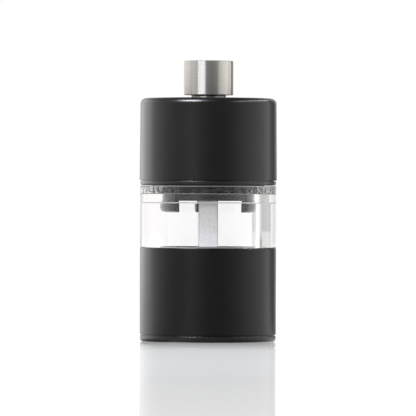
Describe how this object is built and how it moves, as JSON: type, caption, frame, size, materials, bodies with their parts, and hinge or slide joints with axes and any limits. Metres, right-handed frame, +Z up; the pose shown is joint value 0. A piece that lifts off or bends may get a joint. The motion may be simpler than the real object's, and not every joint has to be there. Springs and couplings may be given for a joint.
{
  "type": "pepper mill",
  "caption": "Small twist-head pepper mill with a clear pepper chamber, a square drive shaft, a ceramic grinder in the base and a brushed steel grind adjuster knob on top.",
  "frame": {"origin": "centre of the foot ring's underside, on the table", "axes": "+Z up along the mill's axis, front of the mill towards -Y"},
  "size_m": [0.0538, 0.0538, 0.11],
  "materials": {
    "satin_black_lacquer": "satin black lacquer over moulded plastic",
    "moulded_black_plastic": "moulded, fine satin texture",
    "clear_acrylic": "clear, polished",
    "drawn_aluminium": "drawn bar, matt",
    "brushed_stainless": "turned and brushed",
    "bright_steel": "plain bright",
    "grinder_ceramic": "sintered, unglazed",
    "natural_acetal": "natural white",
    "turned_brass": "turned"
  },
  "bodies": {
    "mill_body": {"foot_ring": "moulded_black_plastic", "base_sleeve": "satin_black_lacquer", "pepper_container": "clear_acrylic", "grinder_housing": "moulded_black_plastic", "stator": "grinder_ceramic", "stator_retainer": "moulded_black_plastic"},
    "drive": {"shaft_bush": "natural_acetal", "rotor_spring": "bright_steel"},
    "spindle": {"drive_shaft": "drawn_aluminium", "rotor": "grinder_ceramic", "rotor_washer": "bright_steel", "rotor_screw": "bright_steel"},
    "head": {"head_shell": "satin_black_lacquer", "head_insert": "moulded_black_plastic", "driver_plate": "bright_steel", "plate_screws": "bright_steel", "top_collar": "brushed_stainless"},
    "knob": {"adjuster_knob": "brushed_stainless", "knob_nut": "turned_brass", "friction_washer": "moulded_black_plastic"}
  },
  "joints": [
    {"name": "grind_turn", "type": "hinge", "parent": "mill_body", "child": "drive", "pos_m": [0, 0, 0.03], "axis": [0, 0, 1], "continuous": true},
    {"name": "rotor_lift", "type": "slide", "parent": "drive", "child": "spindle", "axis": [0, 0, 1], "range_m": [-0.0008, 0.0008], "deforming": ["rotor_spring"]},
    {"name": "head_lift", "type": "slide", "parent": "drive", "child": "head", "axis": [0, 0, 1], "range_m": [0, 0.06]},
    {"name": "knob_turn", "type": "hinge", "parent": "head", "child": "knob", "pos_m": [0, 0, 0.1], "axis": [0, 0, -1], "range_deg": [-360, 360]}
  ],
  "couplings": [
    {"joint": "knob_turn", "follows": "rotor_lift", "rad_per_m": 7854}
  ]
}
